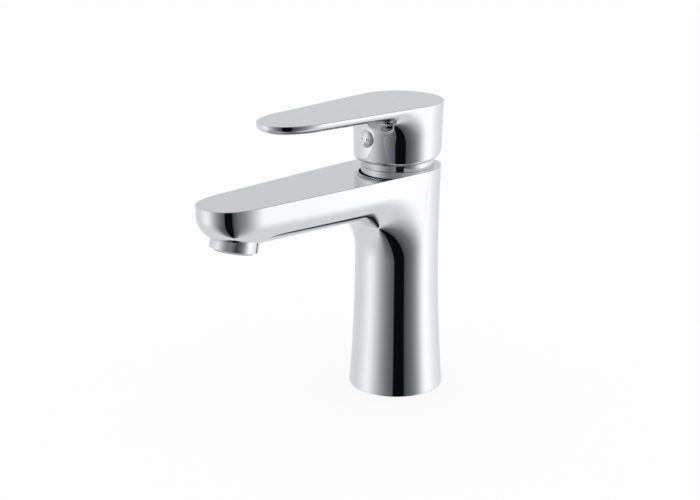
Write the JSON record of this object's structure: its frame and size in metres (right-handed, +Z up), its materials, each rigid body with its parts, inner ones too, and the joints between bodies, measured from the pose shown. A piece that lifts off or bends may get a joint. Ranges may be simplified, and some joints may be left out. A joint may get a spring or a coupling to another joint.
{
  "type": "basin mixer faucet",
  "caption": "Single-lever basin mixer faucet: waisted round column, flat-topped spout with a tilted aerator, and a flat lever that lifts and turns on a ceramic cartridge.",
  "frame": {"origin": "centre of the foot's bore, on the deck that the faucet stands on", "axes": "+Z up along the column, -Y forward along the spout and the lever, +X to the right seen from in front"},
  "size_m": [0.05, 0.1528, 0.154],
  "materials": {
    "chrome": "polished chrome plate",
    "cap_chrome": "chrome-plated plug",
    "dark_plastic": "dark grey inlay",
    "seal_rubber": "matt black rubber",
    "cartridge_plastic": "moulded engineering plastic",
    "disc_ceramic": "lapped alumina",
    "plain_brass": "turned brass",
    "pin_steel": "stainless steel",
    "insert_plastic": "light grey plastic"
  },
  "bodies": {
    "faucet_body": {"body": "chrome", "foot_ring": "seal_rubber", "cartridge_base": "cartridge_plastic", "inlet_seals": "seal_rubber", "disc_seals": "seal_rubber", "fixed_disc": "disc_ceramic", "cartridge_housing": "cartridge_plastic", "collar_ring": "seal_rubber", "retaining_nut": "plain_brass", "trim_ring": "chrome", "aerator_shell": "chrome", "aerator_insert": "insert_plastic", "tip_gasket": "seal_rubber", "aerator_grid": "insert_plastic", "aerator_screen": "insert_plastic"},
    "swivel": {"carrier": "cartridge_plastic", "carrier_ring": "seal_rubber", "pivot_pin": "pin_steel"},
    "lever_arm": {"lever": "chrome", "stem": "plain_brass", "grub_screw": "pin_steel", "cap": "cap_chrome", "cap_marks": "dark_plastic"},
    "valve_disc": {"moving_disc": "disc_ceramic", "disc_driver": "cartridge_plastic"}
  },
  "joints": [
    {"name": "lever_turn", "type": "hinge", "parent": "faucet_body", "child": "swivel", "pos_m": [0, 0, 0.1163], "axis": [0, 0, 1], "range_deg": [-45, 45]},
    {"name": "lever_lift", "type": "hinge", "parent": "swivel", "child": "lever_arm", "pos_m": [0, 0, 0.1163], "axis": [-1, 0, 0], "range_deg": [0, 20]},
    {"name": "disc_slide", "type": "slide", "parent": "swivel", "child": "valve_disc", "axis": [0, -1, 0], "range_m": [0, 0.005]}
  ],
  "couplings": [
    {"joint": "disc_slide", "follows": "lever_lift", "m_per_rad": 0.014128}
  ]
}
